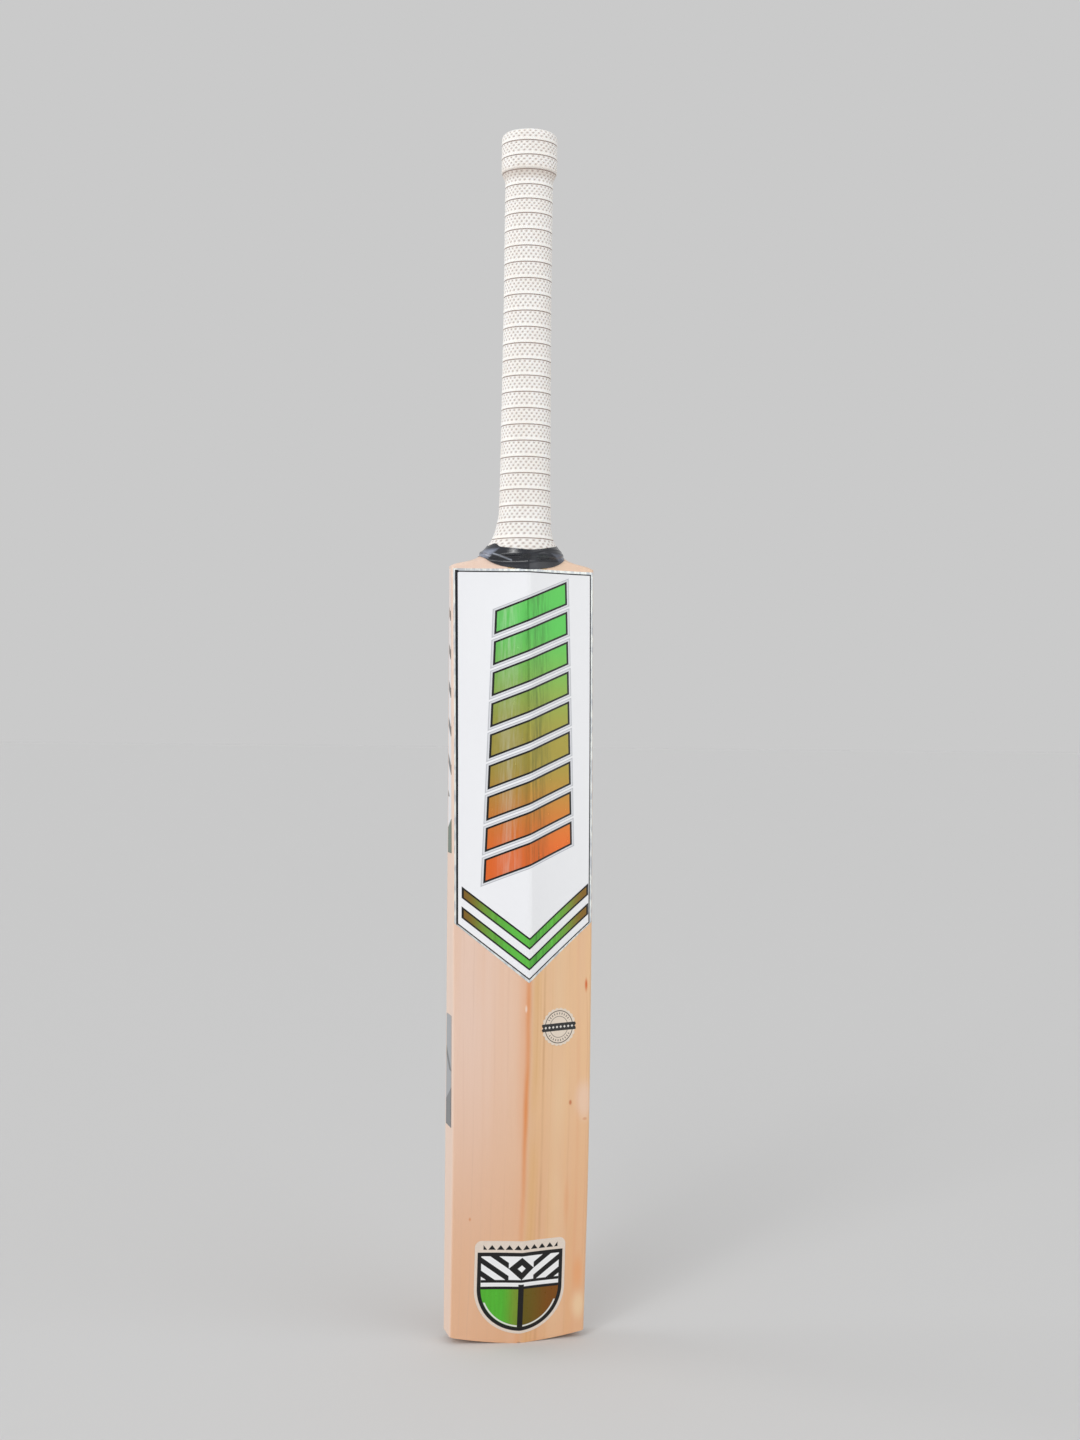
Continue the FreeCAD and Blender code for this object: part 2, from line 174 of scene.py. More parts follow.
class Graph:
    """One node material under construction, with its coordinates in millimetres."""

    def __init__(self, name, roughness=0.5, **finish):
        self.material = bpy.data.materials.new(name)
        self.material.use_nodes = True
        self.tree = self.material.node_tree
        self.shader = self.tree.nodes["Principled BSDF"]
        self.shader.inputs["Roughness"].default_value = roughness
        for title, value in finish.items():
            self.shader.inputs[title.replace("_", " ")].default_value = value
        self.place = self.node("ShaderNodeTexCoord").outputs["Object"]
        parts = self.node("ShaderNodeSeparateXYZ")
        self.tree.links.new(self.place, parts.inputs[0])
        self.x, self.y, self.z = (Field(self, out) * (1 / MM) for out in parts.outputs)

    def node(self, kind, **settings):
        made = self.tree.nodes.new(kind)
        for title, value in settings.items():
            setattr(made, title, value)
        return made

    def feed(self, socket, value):
        if isinstance(value, Field):
            self.tree.links.new(value.socket, socket)
        else:
            socket.default_value = value

    def noise(self, grain, detail=3.0, roughness=0.5, shift=0.0):
        """Smooth noise from 0 to 1 whose lumps are grain = (x, y, z) millimetres large."""
        mapping = self.node("ShaderNodeMapping")
        self.tree.links.new(self.place, mapping.inputs["Vector"])
        mapping.inputs["Location"].default_value = (shift, shift, shift)
        mapping.inputs["Scale"].default_value = tuple(1 / (size * MM) for size in grain)
        node = self.node("ShaderNodeTexNoise")
        self.tree.links.new(mapping.outputs[0], node.inputs["Vector"])
        node.inputs["Scale"].default_value = 1.0
        node.inputs["Detail"].default_value = detail
        node.inputs["Roughness"].default_value = roughness
        return Field(self, node.outputs["Fac"])

    def mix(self, share, low, high):
        """The colour low where share is 0 and high where it is 1."""
        node = self.node("ShaderNodeMix", data_type="RGBA")
        for title, value in (("Factor_Float", share), ("A_Color", low), ("B_Color", high)):
            socket = next(item for item in node.inputs if item.identifier == title)
            self.feed(socket, value)
        return Field(self, next(item for item in node.outputs if item.identifier == "Result_Color"))

    def paint(self, base, layers):
        """The base colour with (share, colour) layers laid over it in turn."""
        for share, layer in layers:
            base = self.mix(share, base, layer)
        return base

    def finish(self, base, rough=None, height=None, depth=0.1, metal=None):
        """Joins the fields to the shader. height is a field of 0 to 1 that stands for depth millimetres."""
        self.feed(self.shader.inputs["Base Color"], base)
        if rough is not None:
            self.feed(self.shader.inputs["Roughness"], rough)
        if metal is not None:
            self.feed(self.shader.inputs["Metallic"], metal)
        if height is not None:
            bump = self.node("ShaderNodeBump")
            bump.inputs["Distance"].default_value = depth * MM
            self.feed(bump.inputs["Height"], height)
            self.tree.links.new(bump.outputs["Normal"], self.shader.inputs["Normal"])
        return self.material


# ---- mesh helpers ----
def add_object(name, data):
    made = bpy.data.objects.new(name, data)
    bpy.context.scene.collection.objects.link(made)
    return made


def smooth(mesh, angle):
    """Shades a mesh smooth, apart from edges sharper than angle in degrees."""
    mesh.polygons.foreach_set("use_smooth", [True] * len(mesh.polygons))
    mesh.set_sharp_from_angle(angle=math.radians(angle))


def make_piece(name, points, faces, material, smooth_angle=40):
    """A mesh piece from points in millimetres, riding on the bat."""
    mesh = bpy.data.meshes.new(name)
    mesh.from_pydata([Vector(point) * MM for point in points], [], faces)
    mesh.validate()
    smooth(mesh, smooth_angle)
    mesh.materials.append(material)
    piece = add_object(name, mesh)
    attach(piece, "root")
    return piece


def tube_faces(rows, columns):
    """Quads between rows of points that each run once round."""
    faces = []
    for row in range(rows - 1):
        low = row * columns
        high = low + columns
        for column in range(columns):
            after = (column + 1) % columns
            faces.append((low + column, low + after, high + after, high + column))
    return faces


RAY_PULLS = (0.0, 0.02, 0.04, 0.07)


def node_surface(name):
    """The height y of a CAD node's outer surface on the back at (x, z), found by a ray along +Y.

    A ray that just misses the node's rim is tried again a little nearer to its middle.
    """
    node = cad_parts[name]
    low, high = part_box(name)
    middle = (low + high) / 2

    def surface(x, z):
        for pull in RAY_PULLS:
            inward = Vector((x, 0.0, z)) * MM * (1 - pull) + Vector((middle.x, 0.0, middle.z)) * pull
            hit, place, *_ = node.ray_cast(Vector((inward.x, low.y - 1, inward.z)), Vector((0, 1, 0)))
            if hit:
                return place.y / MM
        raise ValueError(f"{name} isn't at {x}, {z}")

    return surface


# ---- the handle's outline ----
def taper_share(z):
    return clamped((z - BLADE_LENGTH) / SHAFT_TAPER)


def core_half_x(z):
    spread = SHOULDER_WIDTH / 2 - NECK_WIDTH / 2
    cane = mixed(NECK_WIDTH, SHAFT_DIAMETER, taper_share(z)) / 2
    return cane + spread * math.exp(-max(z - BLADE_LENGTH, 0.0) / SHOULDER_FALL)


def core_half_y(z):
    return mixed(NECK_DEPTH, SHAFT_DIAMETER, taper_share(z)) / 2


def round_handle(z, half_x, half_y, angle):
    """A point of the handle's oval, whose sides lie a little forward of its axis at the neck."""
    forward = SIDES_FORWARD * (1 - clamped((z - BLADE_LENGTH) / NECK_HEIGHT) ** 2)
    across, along = math.cos(angle), math.sin(angle)
    return Vector((half_x * across, HANDLE_Y + half_y * along + forward * across * across, z))


# ---- the grip ----
RING_START = 572.2                  # the lowest ring groove
RING_PITCH = 11.57
COLLAR_PITCH = 10.2                 # ... and on the collar
PLAIN_RINGS = 20                    # how many plain pitches lie below the collar's
RING_COUNT = 26
GROOVE_HEIGHT = 0.9
GROOVE_DEPTH = 0.45
GROOVE_FLOOR = (0.25, 0.7)          # the groove's flat floor, as shares of its height
BAND_HEIGHT = 1.7                   # the smooth band above each groove
BAND_RISE = 0.12
BAND_EDGE = 0.3                     # the slope from that band to the dimples
DIMPLE_ROWS = 4
DIMPLES_ROUND = 30
DIMPLE_DEPTH = 0.45
DIMPLE_ACROSS = 2.6                 # how narrow a dimple is within its pitch, and how low
DIMPLE_UP = 1.8
DIMPLE_STAGGER = 0.5                # every other row is shifted by this share of a dimple
COLUMNS_PER_DIMPLE = 6
ROWS_PER_DIMPLE = 4
RIM_RADIUS = 4.4                    # the rounded top edge
RIM_PLAIN = 0.2                     # the share of it that has no dimples
RIM_STEPS = 6
GRIP_MOUTH = 11.2                   # the hole's radius at the top
MOUTH_ROUNDING = 0.6
MOUTH_DEPTH = 1.4
TUCKED_BOTTOM = 563.7               # the grip's lower end, under the tape
TUCKED_LIP = 1.0                    # how far that end turns in
GRIP_SMOOTH_ANGLE = 60


def ring_heights():
    plain = [RING_START + RING_PITCH * i for i in range(PLAIN_RINGS + 1)]
    return plain + [plain[-1] + COLLAR_PITCH * i for i in range(1, RING_COUNT - PLAIN_RINGS)]


def grip_half_sizes(z):
    """The grip's plain outer half width and half depth at one height."""
    half_x = core_half_x(z) + GRIP_STAND
    half_y = core_half_y(z) + GRIP_STAND
    swell = eased((z - COLLAR_FOOT) / (COLLAR_START - COLLAR_FOOT))
    rise = clamped((z - GRIP_TOP) / RIM_RADIUS + 1)
    drawn_in = RIM_RADIUS * (1 - math.sqrt(1 - rise * rise))
    return tuple(mixed(half, COLLAR_RADIUS, swell) - drawn_in for half in (half_x, half_y))


def dimple(turn, row, share):
    """How deep the pattern lies, 0 to 1, at a turn round the grip and a share up one row of dimples."""
    offset = DIMPLE_STAGGER * (row % 2)
    across = (turn * DIMPLES_ROUND + offset) % 1.0 - 0.5
    reach = math.hypot(across * DIMPLE_ACROSS, (share - 0.5) * DIMPLE_UP)
    return 1 - eased(reach)


def grip_rows():
    """Rows of (height, relief, hollow) from the tape upwards. hollow is a function of the turn."""
    rings = ring_heights()
    starts = [RING_START - RING_PITCH] + rings
    ends = rings + [rings[-1] + COLLAR_PITCH]
    rows = []
    for start, end in zip(starts, ends):
        field_start = start + GROOVE_HEIGHT + BAND_HEIGHT
        row_height = (end - field_start) / DIMPLE_ROWS
        rows += [
            (start, 0.0, None),
            # A groove counts as fully hollow, so the grip's material paints it as shade.
            (start + GROOVE_HEIGHT * GROOVE_FLOOR[0], -GROOVE_DEPTH, lambda turn: 1.0),
            (start + GROOVE_HEIGHT * GROOVE_FLOOR[1], -GROOVE_DEPTH, lambda turn: 1.0),
            (start + GROOVE_HEIGHT, BAND_RISE, None),
            (field_start - BAND_EDGE, BAND_RISE, None),
        ]
        for row in range(DIMPLE_ROWS):
            for step in range(ROWS_PER_DIMPLE):
                share = (step + 0.5) / ROWS_PER_DIMPLE
                height = field_start + (row + share) * row_height
                rows.append((height, None, lambda turn, row=row, share=share: dimple(turn, row, share)))
    return [row for row in rows if TUCKED_BOTTOM < row[0] < GRIP_TOP - RIM_RADIUS * RIM_PLAIN]


class Sleeve:
    """Rows of points round the handle, with how deep each lies in the grip's pattern."""

    def __init__(self, columns):
        self.turns = [i / columns for i in range(columns)]
        self.points = []
        self.hollows = []
        self.rows = 0

    def add(self, z, half_x, half_y, relief=0.0, hollow=None):
        """One row. With no relief of its own, a row lies as deep as its hollows."""
        for turn in self.turns:
            depth = hollow(turn) if hollow else 0.0
            stand = -depth * DIMPLE_DEPTH if relief is None else relief
            self.points.append(round_handle(z, half_x + stand, half_y + stand, 2 * math.pi * turn))
            self.hollows.append(depth)
        self.rows += 1


def make_grip(material):
    columns = DIMPLES_ROUND * COLUMNS_PER_DIMPLE
    sleeve = Sleeve(columns)
    low_x, low_y = grip_half_sizes(TUCKED_BOTTOM)
    sleeve.add(TUCKED_BOTTOM + TUCKED_LIP, low_x - TUCKED_LIP, low_y - TUCKED_LIP)
    sleeve.add(TUCKED_BOTTOM, low_x, low_y)
    for z, relief, hollow in grip_rows():
        sleeve.add(z, *grip_half_sizes(z), relief, hollow)
    for step in range(1, RIM_STEPS + 1):
        z = GRIP_TOP - RIM_RADIUS * RIM_PLAIN * (1 - step / RIM_STEPS) ** 2
        sleeve.add(z, *grip_half_sizes(z))
    for drop, extra in ((0.0, MOUTH_ROUNDING), (MOUTH_ROUNDING, 0.0), (MOUTH_DEPTH, 0.0)):
        sleeve.add(GRIP_TOP - drop, GRIP_MOUTH + extra, GRIP_MOUTH + extra)
    faces = tube_faces(sleeve.rows, columns)
    piece = make_piece("grip_sleeve", sleeve.points, faces, material, GRIP_SMOOTH_ANGLE)
    # The hollow attribute carries how deep each point lies, and the grip's material paints it as shade.
    hollow = piece.data.attributes.new("hollow", "FLOAT", "POINT")
    hollow.data.foreach_set("value", sleeve.hollows)
    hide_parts("grip")


# ---- the tape round the neck ----
TAPE_COLUMNS = 260
TAPE_ROWS = 30
TAPE_THICKNESS = 0.4
TAPE_SMOOTH_ANGLE = 50
TAPE_LOW_MIDDLE = 550.6             # its lower edge on the ridge
TAPE_LOW_RISE = 10.4                # how far that edge rises to the sides
TAPE_LOW_RIGHT_EXTRA = 0.4          # it rises this much more on the right, and less on the left
TAPE_LOW_BEND = 0.25                # how tight that edge's curve is on the ridge
TAPE_HIGH_MIDDLE = 564.6            # its upper edge, and how far that rises
TAPE_HIGH_RISE = 3.6
TAPE_HIGH_BEND = 1.5
TAPE_WAVE = 0.2                     # the upper edge's waver
TAPE_RIGHT_EXTRA = 1.4              # the upper edge rises this much more on the right
TAPE_CORNER_RISE = 2.8              # the tape's free end stands up at the left
TAPE_CORNER_PLACE = 0.9             # ... so far to the side, as a share of the half width
TAPE_CORNER_WIDTH = 0.11
TAPE_OFF_WILLOW = 0.2
TAPE_OFF_CORE_ON_GRIP = 3.4
GRIP_CLIMB = (557.0, 562.0)         # between these heights it climbs from the willow onto the grip
GRIP_CLIMB_PACE = 2.6               # ... and within one over this share of its own height
TAPE_FOLD_SWAY = 0.3
# Folds that run round the tape: place up it and width as shares of its height, height in millimetres.
TAPE_FOLDS = ((0.62, 0.045, 0.42), (0.52, 0.04, -0.294), (0.18, 0.05, 0.3))
# Ripples across it: count round it, lean, shift, height in millimetres.
TAPE_RIPPLES = ((11, 0.7, 0.0, 0.1), (5, -1.1, 1.9, 0.16))


def blade_front(x):
    """The hitting face at the shoulders, crowned a little."""
    return blade_high.y - FACE_CROWN * (x / (SHOULDER_WIDTH / 2)) ** 2


def blade_back(x):
    """The two facets at the shoulders, meeting in a soft ridge."""
    edge = blade_high.y - FACE_CROWN - SHOULDER_EDGE
    share = clamped(abs(x) / (SHOULDER_WIDTH / 2))
    return mixed(edge - SHOULDER_SPINE, edge, share) + FACET_HOLLOW * 4 * share * (1 - share)


def fold_at(off, width):
    """A rounded fold: 1 in its middle, falling to nothing beyond its width."""
    return math.exp(-((off / width) ** 2))


def tape_edges(angle):
    """The heights of the tape's lower and upper edge at an angle round the handle."""
    across = math.cos(angle)
    full_bend = math.hypot(1, TAPE_LOW_BEND) - TAPE_LOW_BEND
    bend = (math.hypot(across, TAPE_LOW_BEND) - TAPE_LOW_BEND) / full_bend
    low = TAPE_LOW_MIDDLE + (TAPE_LOW_RISE + TAPE_LOW_RIGHT_EXTRA * across) * bend
    corner = TAPE_CORNER_RISE * fold_at(across + TAPE_CORNER_PLACE, TAPE_CORNER_WIDTH)
    wave = TAPE_WAVE * math.sin(5 * angle + 0.6)
    rise = (TAPE_HIGH_RISE + TAPE_RIGHT_EXTRA * across) * abs(across) ** TAPE_HIGH_BEND
    return low, TAPE_HIGH_MIDDLE + rise + corner + wave


def tape_crease(turn, share):
    """Folds that run round and a little down the tape, in millimetres."""
    slanted = share + TAPE_FOLD_SWAY * math.sin(4 * math.pi * turn + 0.8)
    depth = sum(height * fold_at(slanted - place, width) for place, width, height in TAPE_FOLDS)
    for count, lean, shift, height in TAPE_RIPPLES:
        ripple = math.sin(2 * math.pi * (turn * count + lean * share) + shift)
        depth += height * ripple * math.sin(math.pi * share)
    return depth


def make_tape(material):
    points = []
    rows = TAPE_ROWS + 2
    for row in range(rows):
        share = clamped((row - 1) / (TAPE_ROWS - 1))
        sunk = row in (0, rows - 1)
        for column in range(TAPE_COLUMNS):
            turn = column / TAPE_COLUMNS
            angle = 2 * math.pi * turn
            z = mixed(*tape_edges(angle), share)
            climb = eased((z - GRIP_CLIMB[0]) / (GRIP_CLIMB[1] - GRIP_CLIMB[0]))
            climb *= eased(share * GRIP_CLIMB_PACE)
            stand = mixed(TAPE_OFF_WILLOW, TAPE_OFF_CORE_ON_GRIP, climb)
            stand += 0.0 if sunk else TAPE_THICKNESS + tape_crease(turn, share)
            point = round_handle(z, core_half_x(z) + stand, core_half_y(z) + stand, angle)
            held = clamped(point.y, blade_back(point.x) - stand, blade_front(point.x) + stand)
            point.y = mixed(held, point.y, climb)
            points.append(point)
    faces = tube_faces(rows, TAPE_COLUMNS)
    piece = make_piece("neck_tape", points, faces, material, TAPE_SMOOTH_ANGLE)
    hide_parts("shoulder_tape")


# ---- materials ----
RIDGE_REACH = 4.0                   # a line this near to the ridge, on the left, fades towards the toe
RIDGE_FADE = (60.0, 200.0)          # ... between these heights
TOE_TAN = (240.0, 20.0)             # the willow grows browner between these heights
SHOULDER_PALE = (538.0, 552.0)      # ... and paler between these
SIDE_REACH = 0.6                    # the blade's sides begin this near to its outline
# Grain lines on the back: place and width across the blade, strength, colour.
GRAIN_LINES = (
    (-3.2, 6.5, 0.7, colour(228, 172, 134)),
    (-0.8, 3.2, 1.0, colour(222, 136, 70)),
    (6.6, 1.1, 0.5, colour(208, 148, 104)),
    (5.5, 6.5, 0.7, colour(226, 178, 118)),
    (12.6, 1.7, 0.5, colour(196, 142, 96)),
    (9.4, 1.1, 0.3, colour(206, 152, 100)),
    (25.0, 11.0, 0.5, colour(236, 204, 164)),
    (19.0, 0.9, 0.25, colour(210, 160, 112)),
    (33.5, 0.9, 0.25, colour(212, 162, 118)),
    (40.5, 2.4, 0.45, colour(226, 168, 128)),
    (47.0, 1.0, 0.3, colour(214, 156, 122)),
    (-5.0, 5.0, 0.3, colour(230, 184, 152)),
    (-14.0, 0.9, 0.2, colour(214, 168, 140)),
    (-22.5, 0.8, 0.25, colour(210, 168, 142)),
    (-30.0, 1.2, 0.2, colour(216, 176, 150)),
    (-37.0, 0.8, 0.25, colour(208, 168, 144)),
    (-43.5, 0.8, 0.2, colour(212, 172, 150)),
)
# Knots and flecks: place across and up the blade, radius, stretch along the grain, strength, colour.
GRAIN_SPOTS = (
    (45.0, 172.0, 9.0, 0.5, 0.55, colour(238, 208, 190)),
    (44.0, 24.0, 9.0, 0.6, 0.5, colour(242, 218, 178)),
    (34.5, 171.0, 1.5, 0.6, 0.9, colour(196, 112, 66)),
    (46.0, 158.5, 2.2, 1.6, 0.6, colour(206, 138, 100)),
    (46.2, 254.5, 1.7, 0.24, 1.0, colour(212, 104, 44)),
    (43.0, 48.0, 6.0, 0.3, 0.6, colour(230, 158, 104)),
    (33.0, 100.0, 3.0, 0.12, 0.4, colour(226, 160, 112)),
    (-37.0, 90.0, 1.1, 0.6, 0.7, colour(210, 128, 76)),
    (-1.6, 240.0, 1.0, 0.3, 0.6, colour(246, 232, 220)),
)


def willow_material():
    """Pale pressed willow: long grain, a warm line on the ridge, small knots and flecks."""
    graph = Graph("willow", 0.42, Specular_IOR_Level=0.4, Coat_Weight=0.1, Coat_Roughness=0.3)
    drift = graph.noise((60, 60, 300), 2, 0.5) - 0.5
    swirl = graph.noise((20, 20, 70), 2, 0.5, 3.1) - 0.5
    across = graph.x + drift * 7 + swirl * 3
    fibre = graph.noise((0.6, 0.6, 60), 4, 0.6)
    broad = graph.noise((9, 9, 420), 2, 0.5, 1.7)
    wanders = [graph.noise((30, 30, 90), 2, 0.5, 9.3 + 7 * i).ramp(0.28, 0.66) for i in range(3)]
    base = graph.mix(across.ramp(-40.0, 6.0), colour(232, 201, 183), colour(233, 195, 167))
    base = graph.mix(across.ramp(-4.0, 10.0), base, colour(235, 193, 149))
    base = graph.mix(graph.z.ramp(*TOE_TAN) * 0.75, base, colour(224, 170, 126))
    base = graph.mix(broad.ramp(0.4, 0.65) * 0.3, base, colour(228, 184, 152))
    ridge_fade = graph.z.ramp(*RIDGE_FADE) * 0.75 + 0.25
    for i, (place, width, strength, tint) in enumerate(GRAIN_LINES):
        line = across.near(place, width) * wanders[i % len(wanders)] * strength
        fade = ridge_fade if place < 0 < place + RIDGE_REACH else 1.0
        base = graph.mix(line * fade, base, tint)
    base = graph.mix(graph.z.ramp(*SHOULDER_PALE) * 0.6, base, colour(244, 218, 200))
    # Painted light: the blade's side edges are painted paler, as if lit from the side.
    side = (graph.x.size() - (blade_half(graph.z) - SIDE_REACH)).inside(1.0)
    base = graph.mix(side * 0.7, base, colour(236, 212, 196))
    base = graph.mix((fibre - 0.5).size() * 0.5, base, colour(204, 160, 126))
    for spot_x, spot_z, radius, stretch, strength, tint in GRAIN_SPOTS:
        off_x = graph.x - spot_x
        off_z = (graph.z - spot_z) * stretch
        reach = (off_x * off_x + off_z * off_z).power(0.5) + swirl * radius
        base = graph.mix(reach.ramp(radius, radius * 0.2) * strength, base, tint)
    return graph.finish(base, fibre * 0.12 + 0.36, fibre * 0.7 + broad * 0.3, 0.06)


def cane_material():
    """Sarawak cane: straw coloured, with fine pores along its length and darker glue lines."""
    graph = Graph("cane", 0.55)
    strands = graph.noise((0.5, 0.5, 40), 3, 0.6)
    tone = graph.noise((5, 5, 90), 2, 0.5, 4.0)
    pores = graph.noise((0.35, 0.35, 3.0), 2, 0.6, 2.0).ramp(0.62, 0.72)
    base = graph.mix(tone, colour(206, 168, 112), colour(226, 194, 142))
    base = graph.mix(strands.ramp(0.45, 0.7) * 0.5, base, colour(170, 126, 74))
    base = graph.mix(pores * 0.6, base, colour(104, 72, 40))
    return graph.finish(base, strands * 0.2 + 0.45, strands, 0.1)


def spring_material():
    """Soft grey rubber between the cane slabs."""
    graph = Graph("spring_rubber", 0.75)
    dust = graph.noise((1.5, 1.5, 1.5), 3, 0.6)
    base = graph.mix(dust, colour(58, 56, 55), colour(82, 78, 75))
    return graph.finish(base, dust * 0.15 + 0.65, dust, 0.05)


def thread_material(name, dark, light, pitch):
    """Waxed thread wound round the handle in close turns of one pitch, with painted shade: darker in the
    grooves between the turns.
    """
    graph = Graph(name, 0.7, Sheen_Weight=0.2)
    lay = graph.z * (2 * math.pi / pitch)
    ridge = lay.sine() * 0.5 + 0.5
    twist = graph.noise((0.5, 0.5, 0.25), 2, 0.6)
    # Painted shade: the colour follows the turns' ridge, dark in the grooves and pale on the tops.
    base = graph.mix(ridge * 0.7 + twist * 0.3, dark, light)
    return graph.finish(base, twist * 0.2 + 0.6, ridge * 0.8 + twist * 0.2, 0.25)


COLLAR_SHADE_RISE = 0.6             # painted shade on the grip round the middle of the collar's slope
COLLAR_SHADE_REACH = 6.5


def grip_material():
    """Matt off-white rubber, with painted shade: warmer and darker down in the dimples and grooves, and tan
    round the collar's slope.
    """
    graph = Graph("grip_rubber", 0.62, Sheen_Weight=0.05, Subsurface_Weight=0.05)
    graph.shader.inputs["Subsurface Radius"].default_value = (0.002, 0.0016, 0.0012)
    graph.shader.inputs["Subsurface Scale"].default_value = 0.5
    skin = graph.noise((0.6, 0.6, 0.6), 3, 0.6)
    soil = graph.noise((14, 14, 22), 3, 0.5, 5.0)
    hollow = Field(graph, graph.node("ShaderNodeAttribute", attribute_name="hollow").outputs["Fac"])
    base = graph.mix(soil.ramp(0.35, 0.7) * 0.6, colour(252, 250, 246), colour(246, 241, 234))
    # Painted shade: a tan band round the collar's slope, where the grip faces down.
    shade = graph.z.near((COLLAR_FOOT + COLLAR_START) / 2 + COLLAR_SHADE_RISE, COLLAR_SHADE_REACH)
    base = graph.mix(shade * 0.45, base, colour(210, 190, 172))
    # Painted shade: the dimples and grooves, as the hollow attribute marks them, are painted darker and
    # warmer.
    base = graph.mix(hollow * 0.85, base, colour(154, 130, 122))
    return graph.finish(base, skin * 0.15 + 0.55, skin, 0.04)


# Painted highlights where stretched tape shines: place across, lean, height over the lower edge, half
# width, half height, blur, strength, colour.
TAPE_PAINTED_SHEEN = (
    (-28.5, -1.0, 11.2, 3.4, 3.2, 2.4, 0.95, colour(150, 158, 178)),
    (25.0, 1.4, 9.0, 4.0, 2.2, 2.4, 0.8, colour(124, 130, 146)),
    (4.0, 0.0, 6.0, 2.4, 4.5, 4.0, 0.3, colour(96, 100, 108)),
)
# A painted highlight along a bright crease in the tape: place across, height over the lower edge, lean,
# half length, half width.
TAPE_PAINTED_STREAK = (-18.4, 8.7, 0.34, 6.6, 0.45)


def tape_material():
    """Glossy black plastic tape, a little blue where it is stretched, with painted highlights: bluish
    patches and a pale streak along a crease.
    """
    graph = Graph("tape", 0.22, Specular_IOR_Level=0.5, Coat_Weight=0.25, Coat_Roughness=0.12)
    stretch = graph.noise((9, 9, 5), 3, 0.55)
    dust = graph.noise((0.7, 0.7, 0.7), 2, 0.7, 7.0)
    base = graph.mix(stretch, colour(18, 19, 24), colour(38, 42, 52))
    base = graph.mix(dust.ramp(0.6, 0.8) * 0.3, base, colour(70, 76, 88))
    height = graph.z - TAPE_LOW_MIDDLE
    # Painted highlights: bluish patches laid over the tape's colour.
    for place, climb, middle, half_width, half_height, blur, strength, tint in TAPE_PAINTED_SHEEN:
        along = graph.x - place + (height - middle) * climb
        painted_sheen = (along.size() * -1 + half_width).least((height - middle).size() * -1 + half_height)
        base = graph.mix(painted_sheen.inside(blur) * (stretch * 0.7 + 0.4) * strength, base, tint)
    # Painted highlight: a pale thin streak along a crease.
    place, rise, lean, half_length, half_width = TAPE_PAINTED_STREAK
    off = graph.x - place
    painted_streak = ((height - rise + off * lean).size() * -1 + half_width).least(off.size() * -1 + half_length)
    base = graph.mix(painted_streak.inside(0.7) * 0.8, base, colour(176, 182, 194))
    return graph.finish(base, stretch * 0.16 + 0.16, stretch * 0.6 + dust * 0.4, 0.12)


# ---- the main label's print ----
LABEL_HALF = 51.7                   # half its width at the shoulders
LABEL_SIDE_Z = 299.0                # the height of its lower corners
BORDER_IN = 1.7                     # from the label's edge to the black line
BORDER_WIDTH = 0.9
BORDER_WIDTH_LEFT = 1.9
CHEVRONS = ((285.9, 0.775), (271.3, 0.788))      # the height on the ridge and the rise of each band
CHEVRON_HALF_HEIGHT = 4.1
CHEVRON_REACH = 46.4
CHEVRON_SHIFT = 1.0                 # the print sits this far to the right
OUTLINE = 1.5                       # the black line round bands and bars
BAR_COUNT = 9
BAR_TOP = 533.0
BAR_BOTTOM = 338.0
BAR_SLANT = 0.42
BAR_LEFT = -29.0
BAR_RIGHT = 33.0
BAR_TAPER = 8.0                     # how much the stack narrows from its foot to its top, on the left
BAR_SHARE = 0.32                    # half a bar's height, as a share of the pitch
BAR_INSET = 3.0
HALO = 2.6                          # the grey band round each bar, and the line round that
HALO_LINE = 0.5


def foil_streaks(graph):
    """Vertical light and dark streaks as on brushed foil, from 0 to 1."""
    return graph.noise((1.6, 1.6, 240), 3, 0.6, 6.0).ramp(0.3, 0.7)


